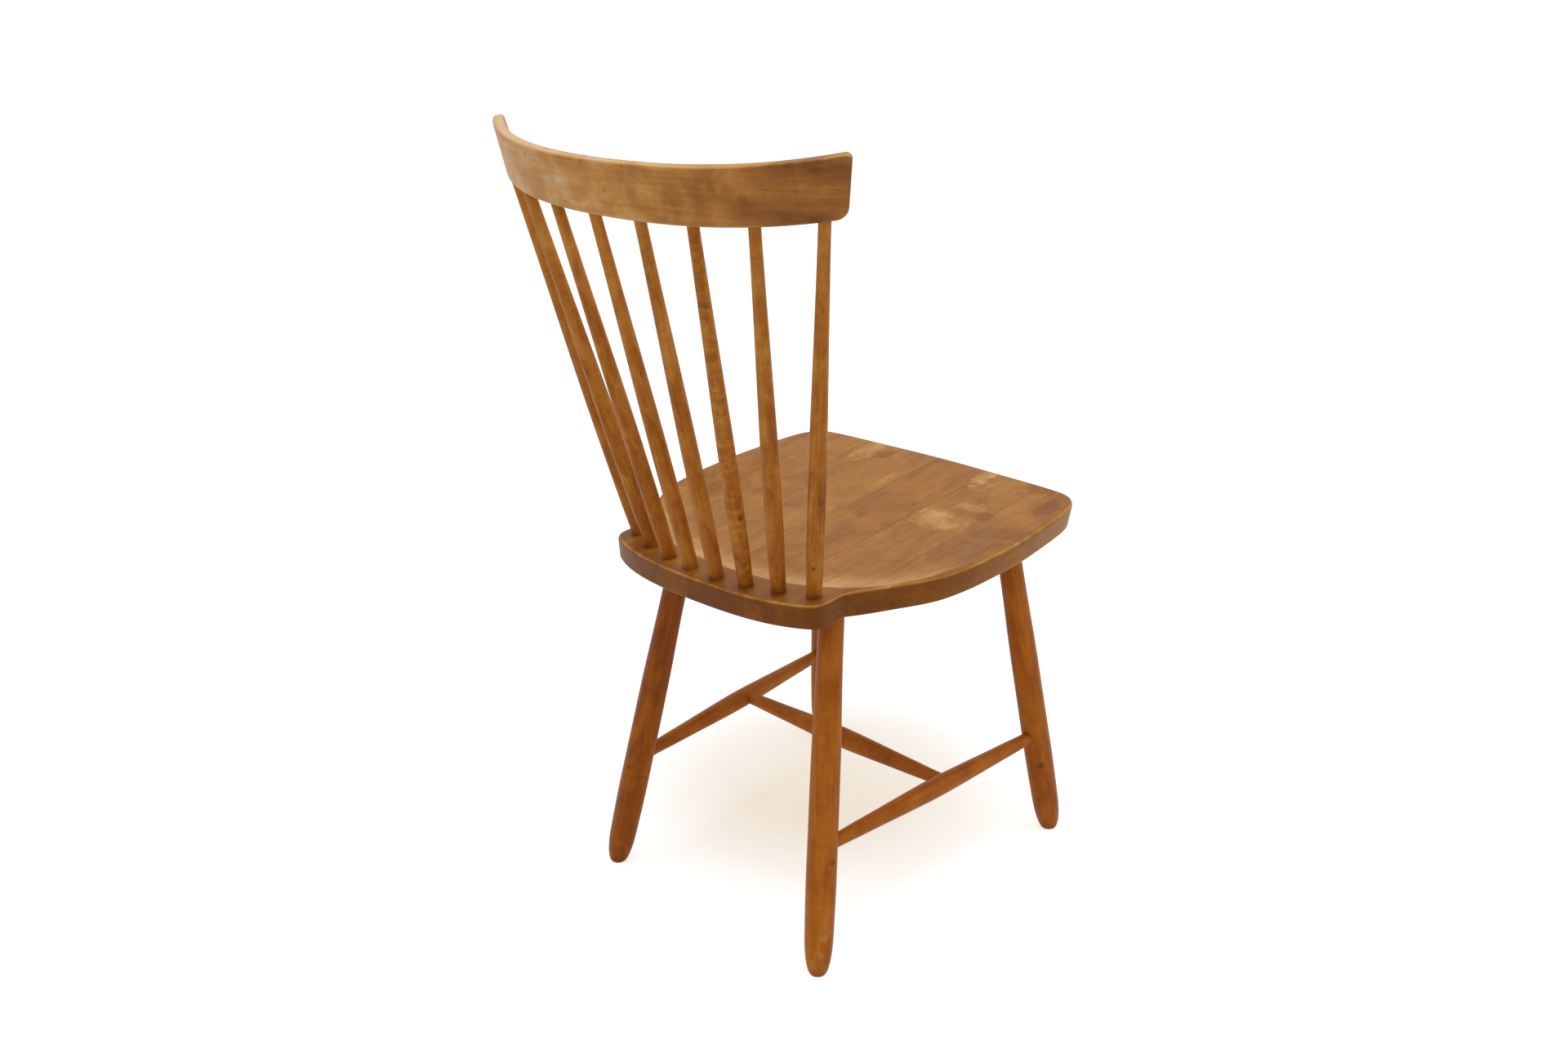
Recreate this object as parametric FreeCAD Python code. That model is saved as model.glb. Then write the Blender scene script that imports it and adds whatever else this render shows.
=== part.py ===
# Windsor chair with a curved crest rail, eight spindles and an edge-glued saddle seat.
# All sizes are in millimetres. Up is +Z and the front of the chair faces -Y.
# The finished chair stands on z = 0, with the middle of its width and depth at the origin.
import FreeCAD
import Part
import math
import os

V = FreeCAD.Vector
os.makedirs("parts", exist_ok=True)

# Glue and fit clearances
socket_clearance = 0.1
socket_end_room = 0.4
glue_line = 0.1

# Seat board
seat_width = 442.0
seat_thickness = 27.5
seat_front_y = -216.0
seat_rear_y = 215.8
seat_rear_height = 422.4
seat_slope_deg = 1.8
seat_shoulder_step = 67.5
seat_shoulder_x = seat_width / 2 - seat_shoulder_step
seat_shoulder_y = 147.5
seat_tail_taper = 0.5
seat_tail_x = seat_shoulder_x - seat_tail_taper
seat_tail_y = 184.5
seat_tail_corner = 19.0
seat_top_round = 3.5
seat_bottom_round = 3.5
seat_side_draft = 2.5
seat_shoulder_flare = 5.5
seat_flare_share = 0.36
seat_front_draft = 8.0
first_seam_inset = 2.5
first_seam_x = first_seam_inset - seat_tail_x
last_stave_width = 59.5
stave_width = (seat_width / 2 - last_stave_width - first_seam_x) / 4

# Saddle hollowed into the top of the seat
saddle_depth = 6.8
saddle_wall = 2.2
saddle_wall_share = 0.26
saddle_start_margin = 20.0
saddle_side_lag = 200.0
saddle_run = 180.0
saddle_knee = 8.0
saddle_rim = 11.0
saddle_half_width = seat_width / 2 - saddle_rim
saddle_back_y = 174.0
saddle_middle_y = -20.0
saddle_front_reach = 205.0
saddle_power = 2.4

# Legs
rear_leg_inset = 39.5
rear_leg_splay = 50.7
rear_top_x = seat_tail_x - rear_leg_inset
rear_foot_x = rear_top_x + rear_leg_splay
rear_foot_y = 212.1
rear_top_y = 121.2
front_leg_inset = 80.6
front_leg_splay = 48.8
front_top_x = seat_width / 2 - front_leg_inset
front_foot_x = front_top_x + front_leg_splay
front_foot_y = -189.2
front_top_y = -149.6
leg_top_height = 392.7
leg_foot_radius = 8.8
leg_ankle_radius = 14.1
leg_belly_radius = 16.6
leg_neck_radius = 14.0
leg_socket_depth = 14.0

# Stretchers
rear_stretcher_height = 135.7
front_stretcher_height = 128.9
side_stretcher_end_radius = 7.6
side_stretcher_belly_radius = 11.5
side_stretcher_socket_depth = 11.0
cross_stretcher_share = 0.548
cross_stretcher_end_radius = 7.7
cross_stretcher_belly_radius = 12.4
cross_stretcher_socket_depth = 8.0

# Back spindles
spindle_count = 8
spindle_arc_radius = 326.7
spindle_arc_back_y = 196.5
spindle_end_margin = 20.98
spindle_arc_reach = (seat_tail_x - spindle_end_margin) / spindle_arc_radius
spindle_arc_step_deg = math.degrees(math.asin(spindle_arc_reach)) / ((spindle_count - 1) / 2)
spindle_foot_radius = 8.0
spindle_belly_radius = 9.0
spindle_top_radius = 5.85
spindle_seat_socket_depth = 16.0
spindle_crest_socket_depth = 18.0
spindle_setback = 0.8

# Crest rail
crest_bottom_y = 281.5
crest_bottom_height = 811.5
crest_lean_deg = 13.0
crest_middle_bend_radius = 833.0
crest_end_bend_radius = 193.0
crest_bend_growth = 1.29
crest_half_length_top = 257.0
crest_end_slant = 12.7
crest_half_length_bottom = crest_half_length_top - crest_end_slant
crest_height = 55.2
crest_top_dip = 1.0
crest_thickness = 17.0
crest_top_thickness = 11.5
crest_spindle_margin = 20.65
crest_spindle_spacing = (crest_half_length_bottom - crest_spindle_margin) / ((spindle_count - 1) / 2)
crest_lower_corner_radius = 13.0
crest_upper_corner_radius = 5.5
crest_edge_round = 3.0


def along(start, end, share):
    return start.add(end.sub(start).multiply(share))


def turned(points, start, end):
    # A lathe-turned solid from (distance, radius) pairs on the line from start to end.
    profile = Part.BSplineCurve()
    profile.interpolate([V(r, 0, s) for s, r in points])
    low, low_radius = points[0]
    high, high_radius = points[-1]
    edges = [
        Part.makeLine(V(0, 0, low), V(low_radius, 0, low)),
        profile.toShape(),
        Part.makeLine(V(high_radius, 0, high), V(0, 0, high)),
        Part.makeLine(V(0, 0, high), V(0, 0, low)),
    ]
    solid = Part.Face(Part.Wire(edges)).revolve(V(0, 0, 0), V(0, 0, 1), 360)
    solid = Part.Solid(solid) if solid.ShapeType != "Solid" else solid
    solid.Placement = FreeCAD.Placement(start, FreeCAD.Rotation(V(0, 0, 1), end.sub(start)))
    return solid


def socket(mouth, inward, radius, depth):
    # The drilled hole for a round tenon: its mouth, and the way the tenon goes in.
    # It starts well outside the mouth so that it cuts through a curved or slanting surface.
    axis = V(inward).normalize()
    outside = 2.0 * radius
    start = mouth.sub(V(axis).multiply(outside))
    return Part.makeCylinder(radius + socket_clearance, outside + depth + socket_end_room, start, axis)


# The seat is drawn level with its top at z = 0, then tipped and lifted into place.
seat_slope = math.tan(math.radians(seat_slope_deg))
seat_place = FreeCAD.Placement(
    V(0, 0, seat_rear_height + spindle_arc_back_y * seat_slope),
    FreeCAD.Rotation(V(1, 0, 0), -seat_slope_deg),
)
seat_normal = seat_place.Rotation.multVec(V(0, 0, 1))


def on_seat_top(x, y):
    return V(x, y, seat_rear_height + (spindle_arc_back_y - y) * seat_slope)


def meets_seat_underside(start, end):
    under = on_seat_top(0, 0).sub(V(seat_normal).multiply(seat_thickness))
    share = under.sub(start).dot(seat_normal) / end.sub(start).dot(seat_normal)
    return along(start, end, share)


def seat_outline(level, side_draft, front_draft, flare):
    # Plan of the seat. From the shoulder beside the tail the side flares out, runs
    # forward and turns in at the front corner. The tail behind carries the spindles.
    # Near the shoulder the underside stands a little proud of the top.
    half = seat_width / 2.0 - side_draft
    front_y = seat_front_y + front_draft
    span = seat_shoulder_y - front_y
    side_shares = [
        (0.728, 0.038), (0.836, 0.139), (0.926, 0.232), (0.975, 0.330), (0.998, 0.472),
        (1.000, 0.611), (0.987, 0.721), (0.964, 0.843), (0.928, 0.922), (0.853, 0.969),
        (0.750, 0.983), (0.638, 0.988), (0.472, 0.992), (0.252, 0.997),
    ]
    side = [V(seat_shoulder_x, seat_shoulder_y, level)]
    for across, forward in side_shares:
        proud = flare * max(0.0, 1.0 - forward / seat_flare_share)
        side.append(V(half * across + proud, seat_shoulder_y - span * forward, level))
    front = V(0, front_y, level)
    mirrored = [V(-p.x, p.y, level) for p in reversed(side)]
    rim = Part.BSplineCurve()
    rim.interpolate(side + [front] + mirrored)

    drop = seat_rear_y - seat_tail_y
    tail_shares = [(1.0, 1.0), (0.73, 0.385), (0.43, 0.10)]
    tail = [V(-seat_tail_x * across, seat_rear_y - drop * down, level) for across, down in tail_shares]
    tail_mirrored = [V(-p.x, p.y, level) for p in reversed(tail)]
    back = Part.BSplineCurve()
    back.interpolate(tail + [V(0, seat_rear_y, level)] + tail_mirrored)
    return Part.Wire([
        rim.toShape(),
        Part.makeLine(mirrored[-1], tail[0]),
        back.toShape(),
        Part.makeLine(tail_mirrored[-1], side[0]),
    ])


def saddle_hollow(x, y):
    # The hollow sinks slowly from the front, later at the sides than in the middle, and
    # ends in a short steep wall along both sides and in front of the tail.
    if y > saddle_middle_y:
        v = (y - saddle_middle_y) / (saddle_back_y - saddle_middle_y)
    else:
        v = (saddle_middle_y - y) / saddle_front_reach
    u = abs(x) / saddle_half_width
    out = (u ** saddle_power + v ** saddle_power) ** (1.0 / saddle_power)
    inward = min(1.0, (1.0 - out) / saddle_wall_share)
    wall = 1.0 - (1.0 - inward) ** saddle_wall
    start = saddle_middle_y - saddle_front_reach + saddle_start_margin + saddle_side_lag * u ** 3
    run = (y - start) / saddle_run
    nearer = math.exp(-saddle_knee * wall) + math.exp(-saddle_knee * run)
    return -saddle_depth * math.log(nearer) / saddle_knee


def saddle_tool():
    # Everything above the hollowed top of the seat, drawn in the level position.
    half_span = seat_width / 2.0 + 25.0
    low_y = seat_front_y - 25.0
    high_y = seat_rear_y + 25.0
    count = 41
    rows = []
    for i in range(count):
        x = -half_span + 2.0 * half_span * i / (count - 1)
        row = []
        for j in range(count):
            y = low_y + (high_y - low_y) * j / (count - 1)
            row.append(V(x, y, -saddle_hollow(x, y)))
        rows.append(row)
    surface = Part.BSplineSurface()
    surface.interpolate(rows)
    return surface.toShape().extrude(V(0, 0, seat_thickness))


def seat_board():
    # The side leans in a little towards the underside, and the front edge more so.
    rim = seat_outline(0, 0, 0, 0)
    base = seat_outline(-seat_thickness, seat_side_draft, seat_front_draft, seat_shoulder_flare)
    board = Part.makeLoft([rim, base], True, True)
    corners = []
    for edge in board.Edges:
        box = edge.BoundBox
        if box.XLength < 0.01 and box.YLength < 0.01 and abs(box.YMin - seat_tail_y) < 0.01:
            corners.append(edge)
    board = board.makeFillet(seat_tail_corner, corners)
    top = [e for e in board.Edges if e.BoundBox.ZMin > -0.01]
    board = board.makeFillet(seat_top_round, top)
    bottom = [e for e in board.Edges if e.BoundBox.ZMax < -seat_thickness + 0.01]
    board = board.makeFillet(seat_bottom_round, bottom)
    board = board.cut(saddle_tool())
    board.Placement = seat_place
    return board


# The crest rail bends in a plane that leans back from the upright. Its bend is slack
# in the middle and tighter towards both ends.
crest_rise = V(0, math.sin(math.radians(crest_lean_deg)), math.cos(math.radians(crest_lean_deg)))
crest_back = V(0, crest_rise.z, -crest_rise.y)


def crest_turn(distance):
    # How far the rail has turned, in radians, at a distance along it from its middle.
    slack = 1.0 / crest_middle_bend_radius
    tight = 1.0 / crest_end_bend_radius
    share = distance / crest_half_length_top
    return distance * (slack + (tight - slack) * share ** crest_bend_growth / (crest_bend_growth + 1.0))


def on_crest(distance, outward):
    # A point of the rail's lower edge, at a distance along it and out from its middle line.
    steps = 60
    length = abs(distance)
    across = 0.0
    back = 0.0
    for i in range(steps):
        turn = crest_turn(length * (i + 0.5) / steps)
        across += math.cos(turn) * length / steps
        back -= math.sin(turn) * length / steps
    turn = crest_turn(length)
    across += outward * math.sin(turn)
    back += outward * math.cos(turn)
    if distance < 0:
        across = -across
    start = V(0, crest_bottom_y, crest_bottom_height)
    return start.add(V(across, 0, 0)).add(V(crest_back).multiply(back))


def crest_level(point):
    return point.sub(V(0, crest_bottom_y, crest_bottom_height)).dot(crest_rise)


def crest_end_waste(sign):
    # The wood beyond the slanting saw cut at one end of the rail.
    low = on_crest(sign * crest_half_length_bottom, 0)
    high = on_crest(sign * crest_half_length_top, 0).add(V(crest_rise).multiply(crest_height))
    through = on_crest(sign * crest_half_length_bottom, 1).sub(low)
    slant = high.sub(low).normalize()
    reach = V(slant).multiply(crest_height)
    side = V(through).multiply(3.0 * crest_thickness)
    corners = [
        low.sub(reach).sub(side), high.add(reach).sub(side),
        high.add(reach).add(side), low.sub(reach).add(side),
    ]
    outward = slant.cross(through)
    if outward.x * sign < 0:
        outward = outward.negative()
    return Part.Face(Part.makePolygon(corners + corners[:1])).extrude(outward.multiply(crest_height))


def crest_plan(rise, thickness):
    # The rail's bent plan at one height. Its back stays upright and its front draws in.
    extra = 20.0
    count = 24
    half = crest_half_length_top + extra
    up = V(crest_rise).multiply(rise)
    outer = []
    inner = []
    for i in range(count + 1):
        distance = -half + 2.0 * half * i / count
        outer.append(on_crest(distance, crest_thickness / 2.0).add(up))
        inner.append(on_crest(-distance, crest_thickness / 2.0 - thickness).add(up))
    outer_curve = Part.BSplineCurve()
    outer_curve.interpolate(outer)
    inner_curve = Part.BSplineCurve()
    inner_curve.interpolate(inner)
    return Part.Wire([
        outer_curve.toShape(),
        Part.makeLine(outer[-1], inner[0]),
        inner_curve.toShape(),
        Part.makeLine(inner[-1], outer[0]),
    ])


def crest_board():
    full_rise = crest_height + 2.0 * crest_top_dip
    thinning = (crest_thickness - crest_top_thickness) / crest_height
    low_plan = crest_plan(0, crest_thickness)
    high_plan = crest_plan(full_rise, crest_thickness - thinning * full_rise)
    board = Part.makeLoft([low_plan, high_plan], True, True)

    # The top edge dips towards the middle by a large round cut.
    reach = crest_half_length_top
    radius = (reach * reach + crest_top_dip * crest_top_dip) / (2.0 * crest_top_dip)
    middle = V(0, crest_bottom_y, crest_bottom_height)
    axis_point = middle.add(V(crest_rise).multiply(crest_height + radius))
    axis_start = axis_point.sub(V(crest_back).multiply(reach))
    board = board.cut(Part.makeCylinder(radius, 2.0 * reach, axis_start, crest_back))
    board = board.cut(crest_end_waste(-1)).cut(crest_end_waste(1))

    for low_corner, radius in ((True, crest_lower_corner_radius), (False, crest_upper_corner_radius)):
        chosen = []
        for edge in board.Edges:
            level = crest_level(edge.CenterOfMass)
            across = abs(edge.CenterOfMass.x) > crest_half_length_bottom / 2.0
            short = edge.Length < 1.5 * crest_thickness
            if short and across and low_corner and level < 0.01:
                chosen.append(edge)
            if short and across and not low_corner and level > crest_height:
                chosen.append(edge)
        board = board.makeFillet(radius, chosen)
    broad = sorted(board.Faces, key=lambda face: face.Area)[-2:]
    return board.makeFillet(crest_edge_round, broad[0].Edges + broad[1].Edges)


# Spindles: feet on an arc in the seat's tail, heads along the crest rail's bend
spindle_lines = []
for number in range(spindle_count):
    place = (spindle_count - 1) / 2.0 - number
    angle = math.radians(place * spindle_arc_step_deg)
    foot_x = spindle_arc_radius * math.sin(angle)
    foot_y = spindle_arc_back_y - spindle_arc_radius * (1.0 - math.cos(angle))
    head = on_crest(place * crest_spindle_spacing, spindle_setback)
    spindle_lines.append((on_seat_top(foot_x, foot_y), head))


def spindle(foot, head):
    length = head.sub(foot).Length
    swell = spindle_belly_radius - spindle_foot_radius
    taper = spindle_belly_radius - spindle_top_radius
    points = [
        (-spindle_seat_socket_depth, spindle_foot_radius),
        (-spindle_seat_socket_depth / 2.0, spindle_foot_radius),
        (length * 0.01, spindle_foot_radius),
        (length * 0.08, spindle_foot_radius + 0.5 * swell),
        (length * 0.18, spindle_foot_radius + 0.9 * swell),
        (length * 0.30, spindle_belly_radius),
        (length * 0.42, spindle_belly_radius - 0.06 * taper),
        (length * 0.54, spindle_belly_radius - 0.25 * taper),
        (length * 0.66, spindle_belly_radius - 0.49 * taper),
        (length * 0.78, spindle_belly_radius - 0.72 * taper),
        (length * 0.90, spindle_belly_radius - 0.91 * taper),
        (length * 0.99, spindle_top_radius),
        (length + spindle_crest_socket_depth / 2.0, spindle_top_radius),
        (length + spindle_crest_socket_depth, spindle_top_radius),
    ]
    return turned(points, foot, head)


# Legs: narrow at the foot, full at the stretchers, straight where they enter the seat
leg_lines = {}
for side, sign in (("right", -1), ("left", 1)):
    leg_lines["rear_" + side] = (
        V(sign * rear_foot_x, rear_foot_y, 0),
        V(sign * rear_top_x, rear_top_y, leg_top_height),
    )
    leg_lines["front_" + side] = (
        V(sign * front_foot_x, front_foot_y, 0),
        V(sign * front_top_x, front_top_y, leg_top_height),
    )


def leg(foot, top):
    mouth = meets_seat_underside(foot, top)
    length = mouth.sub(foot).Length
    taper = leg_belly_radius - leg_neck_radius
    flare = leg_belly_radius - leg_ankle_radius
    points = [
        (-5.0, leg_foot_radius - 6.5),
        (-2.5, leg_foot_radius - 2.3),
        (0.0, leg_foot_radius),
        (4.0, leg_foot_radius + 0.40 * (leg_ankle_radius - leg_foot_radius)),
        (10.0, leg_foot_radius + 0.74 * (leg_ankle_radius - leg_foot_radius)),
        (17.5, leg_ankle_radius),
        (length * 0.12, leg_belly_radius - 0.25 * flare),
        (length * 0.22, leg_belly_radius),
        (length * 0.34, leg_belly_radius - 0.04 * taper),
        (length * 0.49, leg_belly_radius - 0.14 * taper),
        (length * 0.63, leg_belly_radius - 0.33 * taper),
        (length * 0.78, leg_belly_radius - 0.85 * taper),
        (length * 0.90, leg_neck_radius),
        (length + leg_socket_depth / 2.0, leg_neck_radius),
        (length + leg_socket_depth, leg_neck_radius),
    ]
    turned_leg = turned(points, foot, top)
    floor_cut = Part.makeBox(4000, 4000, 100, V(-2000, -2000, -100))
    return turned_leg.cut(floor_cut)


def stretcher(start, end, end_radius, belly_radius, start_in, end_in, straight):
    # Full in the middle and thin at both ends. It begins start_in past the first axis
    # point and stops end_in before the second, with a straight length in each socket.
    first = start_in
    last = end.sub(start).Length - end_in
    swell = belly_radius - end_radius
    shares = [
        (0.12, 0.19), (0.21, 0.39), (0.31, 0.64), (0.41, 0.88), (0.50, 1.00),
        (0.59, 0.88), (0.69, 0.64), (0.79, 0.39), (0.88, 0.19),
    ]
    points = [(first, end_radius), (first + straight / 2.0, end_radius), (first + straight, end_radius)]
    for share, fullness in shares:
        points.append((first + (last - first) * share, end_radius + swell * fullness))
    points.append((last - straight, end_radius))
    points.append((last - straight / 2.0, end_radius))
    points.append((last, end_radius))
    return turned(points, start, end)


# All pieces, before the sockets are drilled
pieces = {}
sockets = {}
for name, (foot, top) in leg_lines.items():
    pieces["leg_" + name] = leg(foot, top)
    mouth = meets_seat_underside(foot, top)
    sockets.setdefault("seat", []).append(
        socket(mouth, top.sub(foot), leg_neck_radius, leg_socket_depth)
    )

side_lines = {}
for side in ("right", "left"):
    rear_foot, rear_top = leg_lines["rear_" + side]
    front_foot, front_top = leg_lines["front_" + side]
    rear_end = along(rear_foot, rear_top, rear_stretcher_height / leg_top_height)
    front_end = along(front_foot, front_top, front_stretcher_height / leg_top_height)
    side_lines[side] = (rear_end, front_end)
    inset = leg_belly_radius - side_stretcher_socket_depth
    pieces["side_stretcher_" + side] = stretcher(
        rear_end, front_end, side_stretcher_end_radius, side_stretcher_belly_radius,
        inset, inset, side_stretcher_socket_depth + 4.0,
    )
    run = front_end.sub(rear_end)
    step = V(run).normalize().multiply(leg_belly_radius)
    sockets["leg_rear_" + side] = [
        socket(rear_end.add(step), run.negative(), side_stretcher_end_radius, side_stretcher_socket_depth)
    ]
    sockets["leg_front_" + side] = [
        socket(front_end.sub(step), run, side_stretcher_end_radius, side_stretcher_socket_depth)
    ]

right_joint = along(side_lines["right"][0], side_lines["right"][1], cross_stretcher_share)
left_joint = along(side_lines["left"][0], side_lines["left"][1], cross_stretcher_share)
inset = side_stretcher_belly_radius - cross_stretcher_socket_depth
pieces["cross_stretcher"] = stretcher(
    right_joint, left_joint, cross_stretcher_end_radius, cross_stretcher_belly_radius,
    inset, inset, cross_stretcher_socket_depth + 3.0,
)
run = left_joint.sub(right_joint)
step = V(run).normalize().multiply(side_stretcher_belly_radius)
sockets["side_stretcher_right"] = [
    socket(right_joint.add(step), run.negative(), cross_stretcher_end_radius, cross_stretcher_socket_depth)
]
sockets["side_stretcher_left"] = [
    socket(left_joint.sub(step), run, cross_stretcher_end_radius, cross_stretcher_socket_depth)
]

sockets["crest_rail"] = []
for number, (foot, head) in enumerate(spindle_lines, start=1):
    pieces["spindle_%d" % number] = spindle(foot, head)
    up = head.sub(foot)
    sockets["seat"].append(
        socket(foot, up.negative(), spindle_foot_radius, spindle_seat_socket_depth)
    )
    sockets["crest_rail"].append(
        socket(head, up, spindle_top_radius, spindle_crest_socket_depth)
    )

pieces["crest_rail"] = crest_board()
pieces["seat"] = seat_board()

for name, holes in sockets.items():
    for hole in holes:
        pieces[name] = pieces[name].cut(hole)

# The seat is glued up from staves that run front to back.
seat = pieces.pop("seat")
edges = [-seat_width]
seam = first_seam_x
while seam < seat_width / 2.0 - stave_width / 3.0:
    edges.append(seam)
    seam += stave_width
edges.append(seat_width)
for number in range(1, len(edges)):
    low = edges[number - 1] + glue_line / 2.0
    high = edges[number] - glue_line / 2.0
    slab = Part.makeBox(high - low, 2000, 2000, V(low, -1000, -500))
    pieces["seat_stave_%d" % number] = seat.common(slab)

# The origin is set under the middle of the chair's width and depth.
box = FreeCAD.BoundBox()
for shape in pieces.values():
    box.add(shape.optimalBoundingBox(True, False))
middle_y = (box.YMin + box.YMax) / 2.0
for name, shape in pieces.items():
    shape.translate(V(0, -middle_y, 0))
    shape.exportStep("parts/%s.step" % name)
    litres = shape.Volume / 1e6
    print("%-22s solids %d, valid %s, %.4f l" % (name, len(shape.Solids), shape.isValid(), litres))
print("overall %.1f x %.1f x %.1f mm, lowest %.3f" % (box.XLength, box.YLength, box.ZLength, box.ZMin))
print("moved back by %.2f mm" % -middle_y)
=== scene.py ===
import math

import bpy
import numpy as np
from mathutils import Matrix, Vector


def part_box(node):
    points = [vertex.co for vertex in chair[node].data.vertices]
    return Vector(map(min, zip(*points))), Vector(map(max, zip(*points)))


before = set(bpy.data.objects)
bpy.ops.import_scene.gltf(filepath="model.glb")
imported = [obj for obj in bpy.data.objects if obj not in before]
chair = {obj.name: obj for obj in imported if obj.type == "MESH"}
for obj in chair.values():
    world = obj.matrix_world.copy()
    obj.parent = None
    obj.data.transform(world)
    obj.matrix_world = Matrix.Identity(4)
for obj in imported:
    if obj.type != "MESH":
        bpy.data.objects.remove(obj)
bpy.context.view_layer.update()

# Seat: six birch staves glued edge to edge, hollowed to a saddle, with the grain running front to back.
# Stained honey brown under a satin clear lacquer. Years of sitting have worn the stain thin in the
# hollow and along the rim, so each stave takes its own tone and the end and side edges stay darker. The
# darker edges are also painted shade, and the pale rim and arris also carry a painted sheen and highlight.


def linear(hex_colour):
    channels = [int(hex_colour[i:i + 2], 16) / 255 for i in (1, 3, 5)]
    return [c / 12.92 if c <= 0.04045 else ((c + 0.055) / 1.055) ** 2.4 for c in channels] + [1.0]


def add(tree, kind, inputs=None, **settings):
    node = tree.nodes.new(kind)
    for name, value in settings.items():
        setattr(node, name, value)
    for socket, value in (inputs or {}).items():
        if isinstance(value, bpy.types.NodeSocket):
            tree.links.new(value, node.inputs[socket])
        else:
            node.inputs[socket].default_value = value
    return node


def maths(tree, operation, *values):
    return add(tree, "ShaderNodeMath", dict(enumerate(values)), operation=operation).outputs[0]


def remap(tree, value, low, high, start=0.0, end=1.0, curve="LINEAR"):
    # low to high comes out as start to end, and is held there beyond both
    return add(tree, "ShaderNodeMapRange", {
        "Value": value, "From Min": low, "From Max": high, "To Min": start, "To Max": end},
        interpolation_type=curve).outputs[0]


def blend(tree, share, colour, other):
    return add(tree, "ShaderNodeMix", {0: share, 6: colour, 7: other}, data_type="RGBA").outputs[2]


def distance(tree, place, point):
    return add(tree, "ShaderNodeVectorMath", {0: place, 1: point}, operation="DISTANCE").outputs["Value"]


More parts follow.
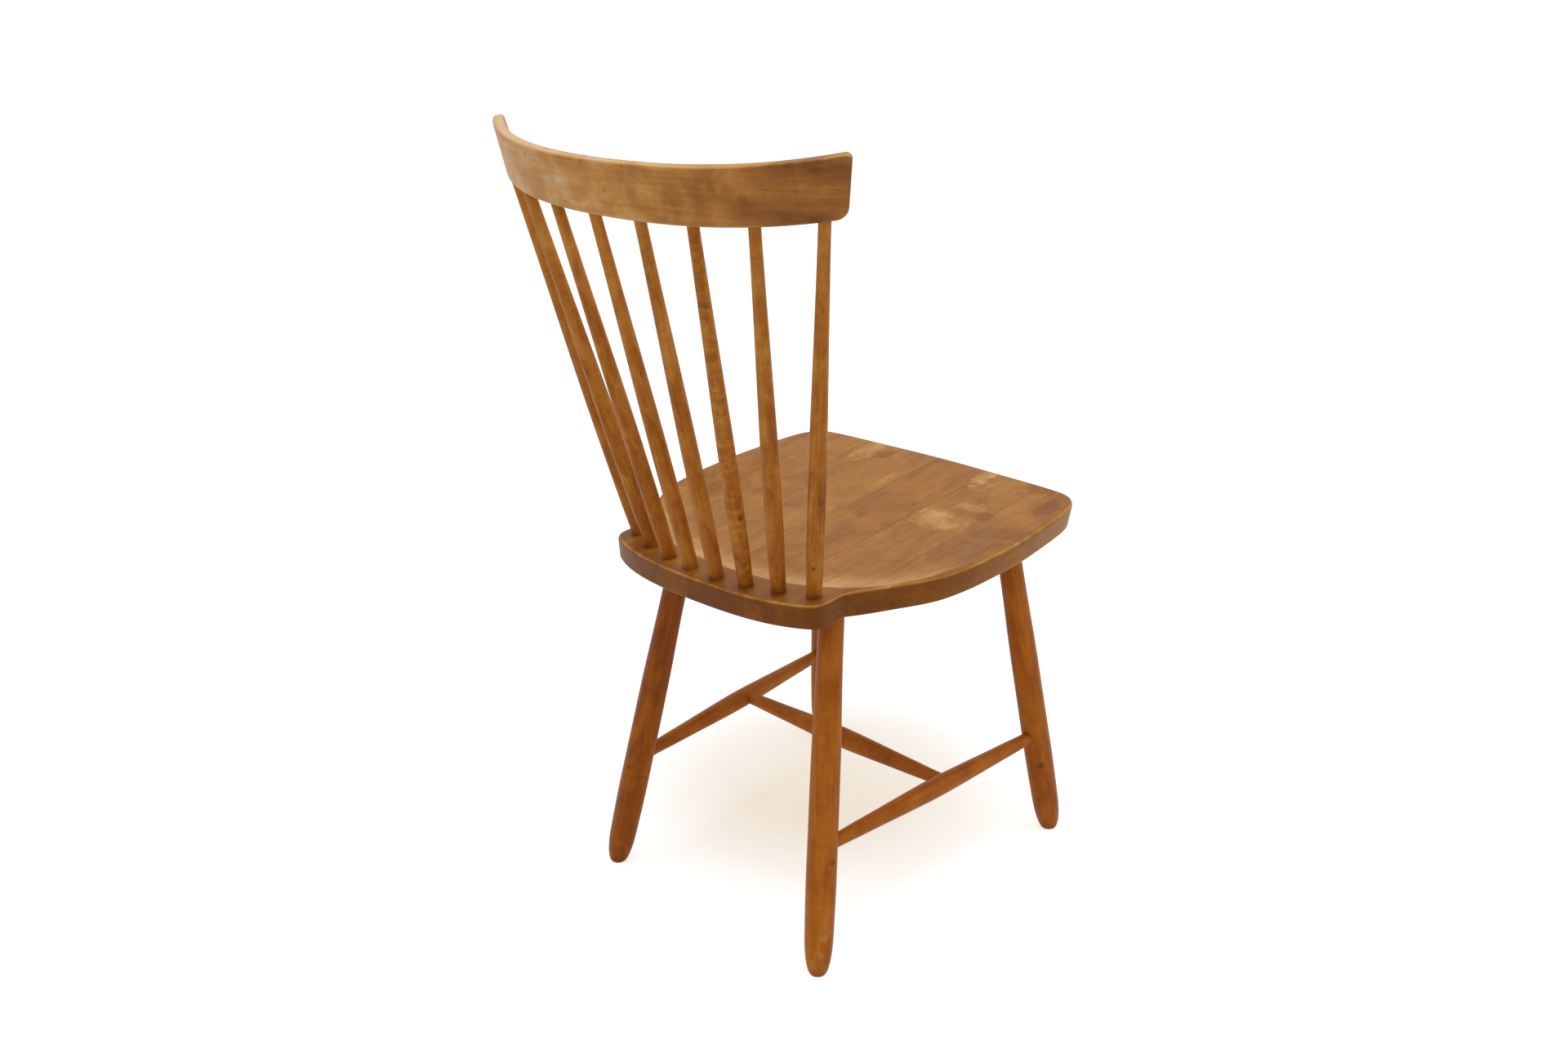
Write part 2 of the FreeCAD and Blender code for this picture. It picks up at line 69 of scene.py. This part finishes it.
def lacquered_birch(name, stain, seed, along, tone=0.0, streak=0.3, curl=0.2, blotch=(32, 42, 0.7, 4, 0),
                    marks=(), patches=(), scuffs=(), seams=(), hollow=None, worn_edge=0.0, top_wear_and_highlight=0.0,
                    fade=None, bend=None, grime_and_shade=0.5):
    # Birch: close pale grain with short dark flecks and a soft curl across the fibres. Stain lies uneven
    # in it. The figure and all shifts add up to one sum that picks from stain, hex colours from deep to thin.
    # marks are pin knots and scuffs bare spots, (x, y, z, size) in mm. patches: (x, y, half width, half depth,
    # shift) in mm. seams: x of glue lines. hollow: (half width, middle y, back, front, power) of its rim.
    # fade: (axis, start, end, shift at start, shift at end). bend: what x^2 and x^4 take off y. All in metres.
    worn = linear("#C99A5C")
    wood = bpy.data.materials.new(name)
    wood.use_nodes = True
    tree = wood.node_tree
    tree.nodes.clear()
    place = add(tree, "ShaderNodeTexCoord").outputs["Object"]
    spot = add(tree, "ShaderNodeSeparateXYZ", {0: place}).outputs
    straight = place
    if bend:
        # the board is bent, so its fibres follow the curve and the pattern is straightened out first
        square = maths(tree, "MULTIPLY", spot[0], spot[0])
        fourth = maths(tree, "MULTIPLY", square, square)
        flat = maths(tree, "MULTIPLY_ADD", square, bend[0], spot[1])
        flat = maths(tree, "MULTIPLY_ADD", fourth, bend[1], flat)
        straight = add(tree, "ShaderNodeCombineXYZ", {0: spot[0], 1: flat, 2: spot[2]}).outputs[0]
    # in mm, with z along the fibres, and moved by the seed so that no two pieces share a figure
    turn = Vector(along).normalized().rotation_difference(Vector((0, 0, 1))).to_euler()
    fibres = add(tree, "ShaderNodeMapping", {
        "Vector": straight, "Rotation": turn, "Scale": (1000, 1000, 1000),
        "Location": (137.7 * seed, 91.3 * seed, 53.1 * seed)}).outputs[0]

    # (across mm, along mm, share, detail, swirl): fine fibres, coarser fibres, year rings, curl, uneven stain
    figure = [(1.1, 40, 0.18, 3, 0), (3.5, 110, streak, 2, 0), (12, 280, 1.2 * streak, 2, 0.2),
              (16, 7, curl, 2, 0.6), blotch]
    sum_so_far = 0.5 + tone - sum(layer[2] for layer in figure) / 2
    drawn = []
    for across, length, share, detail, swirl in figure:
        stretched = add(tree, "ShaderNodeMapping", {
            "Vector": fibres, "Scale": (1 / across, 1 / across, 1 / length)}).outputs[0]
        noise = add(tree, "ShaderNodeTexNoise", {
            "Vector": stretched, "Scale": 1, "Detail": detail, "Roughness": 0.55, "Distortion": swirl}).outputs[0]
        drawn.append(noise)
        sum_so_far = maths(tree, "MULTIPLY_ADD", noise, share, sum_so_far)
    fine, coarse, *_, uneven = drawn

    if fade:
        # the stain shifts from one end of the piece to the other; on the crest rail this is also painted shade at
        # one end and a painted sheen at the other
        axis, start, end, start_shift, end_shift = fade
        end_to_end_shift = remap(tree, spot[axis], start, end, start_shift, end_shift, "SMOOTHSTEP")
        sum_so_far = maths(tree, "ADD", sum_so_far, end_to_end_shift)
    if hollow:
        # The stain is rubbed thin where the hollow rises to its rim at the back, and lies deeper on the ledge
        # there; the pale wall also carries a painted sheen and the ledge a painted shade. reach is the way from
        # the middle of the hollow: 0 there, and 1 all along the rim.
        half_width, middle, back, front, power = hollow
        sideways = maths(tree, "DIVIDE", maths(tree, "ABSOLUTE", spot[0]), half_width)
        sideways = maths(tree, "POWER", sideways, power)
        off_middle = maths(tree, "SUBTRACT", spot[1], middle)
        ahead = maths(tree, "MULTIPLY", off_middle, -1 / front)
        behind = maths(tree, "MULTIPLY", off_middle, 1 / back)
        lengthways = maths(tree, "POWER", maths(tree, "MAXIMUM", ahead, behind), power)
        reach = maths(tree, "POWER", maths(tree, "ADD", sideways, lengthways), 1 / power)
        wavy = maths(tree, "MULTIPLY_ADD", uneven, -0.12, reach)
        # the wear and painted sheen set in from 0.70 to 0.86 of that way, grow to 0.2 at the back, and turn over
        # at the rim into the ledge's deeper stain and painted shade
        rising = remap(tree, wavy, 0.70, 0.86, 0, 1, "SMOOTHSTEP")
        rearward = remap(tree, behind, 0.1, 0.6, 0, 0.2)
        ledge_stain_and_shade = remap(tree, reach, 0.985, 1.01, 1, -0.6)
        rim_wear_and_sheen = maths(tree, "MULTIPLY", rising, maths(tree, "MULTIPLY", rearward, ledge_stain_and_shade))
        sum_so_far = maths(tree, "ADD", sum_so_far, rim_wear_and_sheen)
    if patches or scuffs:
        # how raggedly a patch of finish has let go, in shreds of about 11 mm
        torn = add(tree, "ShaderNodeTexNoise", {
            "Vector": fibres, "Scale": 0.09, "Detail": 5, "Roughness": 0.6, "Distortion": 0.6}).outputs[0]
    for x, y, wide, deep, shift in patches:
        near = add(tree, "ShaderNodeMapping", {
            "Vector": place, "Location": (-x / wide, -y / deep, 0),
            "Scale": (1000 / wide, 1000 / deep, 0)}).outputs[0]
        away = add(tree, "ShaderNodeVectorMath", {0: near}, operation="LENGTH").outputs["Value"]
        # torn is 0.5 on average, so the patch is whole up to about 0.7 of its half size and ends at about 1.1
        ragged = maths(tree, "MULTIPLY_ADD", torn, 2.2, away)
        inside = remap(tree, ragged, 2.2, 1.8, 0, shift)
        sum_so_far = maths(tree, "ADD", sum_so_far, inside)

    if hollow or top_wear_and_highlight or worn_edge:
        # 1 where the surface faces up, 0 where it is upright, -1 where it faces down
        normal = add(tree, "ShaderNodeNewGeometry").outputs["Normal"]
        level = add(tree, "ShaderNodeSeparateXYZ", {0: normal}).outputs[2]
    if hollow:
        # End grain and edges take a shift of their own, deeper towards the tail: deeper stain and painted shade
        # on the upright faces. The round arris between them and the top is rubbed pale and carries a painted
        # highlight.
        tail = remap(tree, behind, -0.5, 0.9, 0.03, -0.2)
        edge_stain_shade_and_highlight = remap(tree, level, 0.75, 0.3, 0, tail, "SMOOTHSTEP")
        inner = remap(tree, level, 0.99, 0.9, 0, 0.5)
        outer = remap(tree, level, 0.1, 0.6, 0, uneven)
        edge_stain_shade_and_highlight = maths(tree, "MULTIPLY_ADD", inner, outer, edge_stain_shade_and_highlight)
        sum_so_far = maths(tree, "ADD", sum_so_far, edge_stain_shade_and_highlight)
    if top_wear_and_highlight:
        # handled along its upper side, where the stain is rubbed thin, and a painted highlight on the faces that
        # look up to the light
        rubbed_and_lit_top = remap(tree, level, 0.35, 0.95, 0, top_wear_and_highlight, "SMOOTHSTEP")
        sum_so_far = maths(tree, "ADD", sum_so_far, rubbed_and_lit_top)
    # the sum picks the deepest stain up to 0.15 and the thinnest from 0.85
    ramp = add(tree, "ShaderNodeValToRGB", {0: sum_so_far})
    stops = ramp.color_ramp.elements
    while len(stops) < len(stain):
        stops.new(0.5)
    for i, colour in enumerate(stain):
        stops[i].position = 0.15 + 0.7 * i / (len(stain) - 1)
        stops[i].color = linear(colour)
    colour = ramp.outputs[0]

    # pith flecks: dark dashes about 1.4 mm wide and 6 mm long in some of the cells, which are 4 x 17 mm
    cells = add(tree, "ShaderNodeMapping", {"Vector": fibres, "Scale": (1 / 4, 1 / 4, 1 / 17)}).outputs[0]
    fleck = add(tree, "ShaderNodeTexVoronoi", {"Vector": cells, "Scale": 1})
    dash = remap(tree, fleck.outputs["Distance"], 0.10, 0.24, 0.4, 0)
    picked = add(tree, "ShaderNodeSeparateColor", {0: fleck.outputs["Color"]}).outputs[0]
    some = maths(tree, "GREATER_THAN", picked, 0.62)
    flecks = maths(tree, "MULTIPLY", dash, some)
    for x in seams:
        # glue line between two staves: 0.7 mm of it on each, at half strength and lost where the stain is deep
        line = maths(tree, "COMPARE", spot[0], x, 0.0007)
        faint = remap(tree, uneven, 0.42, 0.6, 0, 0.5)
        flecks = maths(tree, "MAXIMUM", flecks, maths(tree, "MULTIPLY", line, faint))
    for x, y, z, size in marks:
        # a pin knot is dark in its core and fades out to its size
        away = distance(tree, place, (x / 1000, y / 1000, z / 1000))
        knot = remap(tree, away, size / 2600, size / 1000, 0.85, 0, "SMOOTHSTEP")
        flecks = maths(tree, "MAXIMUM", flecks, knot)
    colour = blend(tree, flecks, colour, linear(stain[0]))
    for x, y, z, size in scuffs:
        away = distance(tree, place, (x / 1000, y / 1000, z / 1000))
        ragged = maths(tree, "MULTIPLY_ADD", torn, size / 700, away)
        bare = remap(tree, ragged, size / 700, size / 1400, 0, 0.5)
        colour = blend(tree, bare, colour, worn)
    if worn_edge:
        # arrises rubbed down to a paler line, broken up where they were knocked less
        slope = maths(tree, "ABSOLUTE", level)
        arris = remap(tree, slope, 0.38, 0.6, 0, worn_edge)
        flat_top = remap(tree, slope, 0.97, 0.9, 0.3, 1)
        arris = maths(tree, "MULTIPLY", arris, flat_top)
        broken = remap(tree, uneven, 0.35, 0.6)
        colour = blend(tree, maths(tree, "MULTIPLY", arris, broken), colour, worn)
    # painted shade with old polish and dust: the corners where pieces meet are darkened within 14 mm by their
    # ambient occlusion
    occlusion = add(tree, "ShaderNodeAmbientOcclusion", {"Distance": 0.014}, samples=6).outputs["AO"]
    dust_and_painted_shade = remap(tree, occlusion, 0.3, 0.85, grime_and_shade, 0)
    colour = blend(tree, dust_and_painted_shade, colour, linear("#4A2408"))

    # satin lacquer: smooth over the fibres, a little duller where the stain has worn
    gloss = remap(tree, uneven, 0.3, 0.7, 0.36, 0.5)
    relief = maths(tree, "MULTIPLY_ADD", fine, 0.5, coarse)
    relief = maths(tree, "MULTIPLY_ADD", flecks, -0.6, relief)
    bump = add(tree, "ShaderNodeBump", {"Strength": 0.35, "Distance": 0.0002, "Height": relief}).outputs[0]
    surface = add(tree, "ShaderNodeBsdfPrincipled", {
        "Base Color": colour, "Roughness": gloss, "IOR": 1.5, "Specular IOR Level": 0.12, "Normal": bump})
    add(tree, "ShaderNodeOutputMaterial", {"Surface": surface.outputs[0]})
    return wood


seat_stain = ["#75400F", "#93591A", "#B37B36", "#D2A569"]
# rim of the hollow in metres: half width, y of its middle, depth behind and ahead of that, and its power
seat_hollow = (0.210, -0.06338, 0.194, 0.205, 2.4)
stave_tones = [-0.02, 0.03, -0.02, 0.04, 0.0, -0.04]
# (x, y, half width, half depth, how much thinner the stain is) in mm
seat_patches = [(-110, -108, 38, 24, 0.15), (-92, -126, 20, 14, 0.1), (-118, -156, 20, 13, 0.15),
                (-77, -240, 10, 36, 0.2), (-90, -210, 14, 18, 0.12), (-144, -142, 14, 10, -0.15),
                (-150, -245, 26, 20, -0.12), (95, -235, 16, 46, 0.16), (-190, -200, 14, 24, -0.12),
                (70, -226, 16, 12, -0.1)]
for i, tone in enumerate(stave_tones):
    stave = f"seat_stave_{i + 1}"
    low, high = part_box(stave)
    own = [p for p in seat_patches if low.x * 1000 - p[2] < p[0] < high.x * 1000 + p[2]]
    # the outer edges of the first and last stave, beyond 0.2 m, are no glue lines
    joints = [x for x in (low.x, high.x) if abs(x) < 0.2]
    chair[stave].material_slots[0].material = lacquered_birch(
        f"lacquered_birch_seat_{i + 1}", seat_stain, seed=i + 1, along=(0, 1, 0), tone=tone, streak=0.16,
        curl=0.1, blotch=(44, 60, 0.55, 4, 0.9), patches=own, seams=joints, hollow=seat_hollow, grime_and_shade=0.7)

# Legs: four lathe-turned birch legs, tapered to a rounded foot and to the neck, splayed out.
# Their round tenons are glued into blind sockets under the seat. Stained deeper than the seat and little worn.


def run_of(node):
    # the direction in which a turned piece is longest, which is how its fibres run
    mesh = chair[node].data
    points = np.zeros(len(mesh.vertices) * 3)
    mesh.vertices.foreach_get("co", points)
    points = points.reshape(-1, 3)
    spread = points - points.mean(0)
    return Vector(np.linalg.eigh(spread.T @ spread)[1][:, 2])


turned_stain = ["#7E3E08", "#A2560E", "#BA6C1B", "#D09240"]
leg_tones = {"leg_rear_right": 0.0, "leg_rear_left": -0.2, "leg_front_right": -0.06, "leg_front_left": -0.06}
leg_marks = {"leg_rear_left": [(145.5, 155.8, 129.3, 4)], "leg_rear_right": [(-164.6, 140.9, 126.1, 5)],
             "leg_front_right": [(-188.8, -210.6, 94.7, 6)]}
leg_scuffs = {"leg_rear_right": [(-172.8, 165.4, 46.5, 9), (-172.5, 172.1, 29.0, 8)]}
for i, (node, tone) in enumerate(leg_tones.items()):
    chair[node].material_slots[0].material = lacquered_birch(
        f"lacquered_birch_{node}", turned_stain, seed=10 + i, along=run_of(node), tone=tone, streak=0.22,
        blotch=(22, 70, 0.8, 4, 0.7), marks=leg_marks.get(node, ()), scuffs=leg_scuffs.get(node, ()))

# Stretchers: two turned side stretchers between front and rear legs, joined by one cross stretcher.
# Each swells at the middle and ends in round tenons glued into blind sockets.

for i, node in enumerate(["side_stretcher_right", "side_stretcher_left", "cross_stretcher"]):
    chair[node].material_slots[0].material = lacquered_birch(
        f"lacquered_birch_{node}", turned_stain, seed=20 + i, along=run_of(node))

# Spindles: eight turned birch rods, thickest low down and thinner at the head, fanned out along the
# seat's rear edge. Both ends are glued into blind sockets, in the seat and in the crest rail.

spindle_stain = ["#7E420E", "#A8621A", "#C48234", "#D6A464"]
spindle_marks = {"spindle_8": [(-144.5, 138.7, 460.8, 4)], "spindle_6": [(-74.6, 168.1, 506.3, 4.5)]}
spindle_curls = {"spindle_6": 0.6}
for i in range(8):
    node = f"spindle_{i + 1}"
    chair[node].material_slots[0].material = lacquered_birch(
        f"lacquered_birch_{node}", spindle_stain, seed=30 + i, along=run_of(node), tone=-0.03, streak=0.2,
        curl=spindle_curls.get(node, 0.2), blotch=(14, 45, 0.75, 4, 0.8), marks=spindle_marks.get(node, ()),
        fade=(2, 0.45, 0.8, -0.08, 0.04))

# Crest rail: one board bent to a hollow curve that tightens at the ends, leaning back, with its arrises
# rounded over. Hands have rubbed the stain off its upper edge and its ends, and the paler top and the
# darker near end also carry painted light and shade.

crest_stain = ["#7C4822", "#A66A30", "#CE9248", "#E0BE92"]
crest_marks = [(-33.9, 256.6, 861.3, 2), (-1.8, 252.4, 836.6, 2), (120.4, 245.5, 858.0, 2)]
# painted light on the crest: its upper side is lightened as rubbed stain and a painted highlight, and the fade
# along x is worn stain with painted shade at the -x end, which faces away from the light
chair["crest_rail"].material_slots[0].material = lacquered_birch(
    "lacquered_birch_crest", crest_stain, seed=41, along=(1, 0, 0), tone=-0.02, streak=0.2, curl=0.14,
    blotch=(34, 46, 0.8, 5, 0.5), marks=crest_marks, worn_edge=0.7, top_wear_and_highlight=0.2,
    fade=(0, -0.26, 0.02, -0.2, 0.14), bend=(0.66, 9.8))

# Studio: a plain white floor that runs into a white backdrop, and one broad soft lamp overhead.
# The floor looks white to the camera, and keeps a faint warm shadow of the chair, part of it painted into its
# glow.


def sight(tree):
    # 1 for what is seen by the camera, in a reflection or through glass, and 0 for the light that falls on things
    path = add(tree, "ShaderNodeLightPath").outputs
    seen = maths(tree, "MAXIMUM", path["Is Camera Ray"], path["Is Glossy Ray"])
    return maths(tree, "MAXIMUM", seen, path["Is Transmission Ray"])


white = (1, 1, 1, 1)
bpy.ops.mesh.primitive_plane_add(size=60, location=(0, 0, -0.0003))
floor = bpy.context.object
floor.name = "studio_floor"
paper = bpy.data.materials.new("white_studio_paper")
paper.use_nodes = True
tree = paper.node_tree
tree.nodes.clear()
lit = add(tree, "ShaderNodeBsdfDiffuse", {"Color": (0.8, 0.8, 0.8, 1)}).outputs[0]
# in sight, a glow is added to the lit paper, so that shade on it stays faint
held = add(tree, "ShaderNodeBsdfDiffuse", {"Color": (0.50, 0.74, 0.95, 1)}).outputs[0]
place = add(tree, "ShaderNodeTexCoord").outputs["Object"]
painted_shadow_middle, painted_shadow_colour = (0.12, -0.16, 0), (0.595, 0.405, 0.21, 1)
# painted shadow: the glow is dimmer and warm in the middle of the shade, and half way to white from 0.40 m off
open_floor = remap(tree, distance(tree, place, painted_shadow_middle), 0.10, 0.40, 0, 0.5, "SMOOTHSTEP")
glow_with_painted_shadow = blend(tree, open_floor, painted_shadow_colour, white)
glow = add(tree, "ShaderNodeEmission", {"Color": glow_with_painted_shadow, "Strength": 1}).outputs[0]
shown = add(tree, "ShaderNodeAddShader", {0: held, 1: glow}).outputs[0]
both = add(tree, "ShaderNodeMixShader", {0: sight(tree), 1: lit, 2: shown}).outputs[0]
add(tree, "ShaderNodeOutputMaterial", {"Surface": both})
floor.data.materials.append(paper)

world = bpy.data.worlds.new("white_studio")
world.use_nodes = True
tree = world.node_tree
tree.nodes.clear()
light = add(tree, "ShaderNodeBackground", {"Color": white, "Strength": 0.7}).outputs[0]
view = add(tree, "ShaderNodeBackground", {"Color": white, "Strength": 1.0}).outputs[0]
both = add(tree, "ShaderNodeMixShader", {0: sight(tree), 1: light, 2: view}).outputs[0]
add(tree, "ShaderNodeOutputWorld", {"Surface": both})
bpy.context.scene.world = world

lamp = bpy.data.lights.new("overhead_softbox", "AREA")
lamp.shape = "SQUARE"
lamp.size = 2.4
lamp.energy = 18
softbox = bpy.data.objects.new("overhead_softbox", lamp)
softbox.location = (-0.2, -0.3, 2.8)
bpy.context.collection.objects.link(softbox)

# the place, angles in degrees and focal length in mm that put the chair's edges where the photograph has them
camera = bpy.data.cameras.new("camera")
camera.sensor_width = 36
camera.lens = 35.635
camera.clip_end = 100
eye = bpy.data.objects.new("camera", camera)
yaw, pitch, roll = (math.radians(a) for a in (136.0146, 21.8782, -1.8120))
forward = Vector((math.sin(yaw) * math.cos(pitch), math.cos(yaw) * math.cos(pitch), -math.sin(pitch)))
right = forward.cross(Vector((0, 0, 1))).normalized()
up = right.cross(forward)
tilted_right = math.cos(roll) * right + math.sin(roll) * up
tilted_up = math.cos(roll) * up - math.sin(roll) * right
eye.matrix_world = Matrix.Translation((-1.10439, 1.17283, 1.07801)) @ Matrix(
    (tilted_right, tilted_up, -forward)).transposed().to_4x4()
bpy.context.collection.objects.link(eye)
bpy.context.scene.camera = eye
bpy.context.scene.view_settings.view_transform = "Standard"
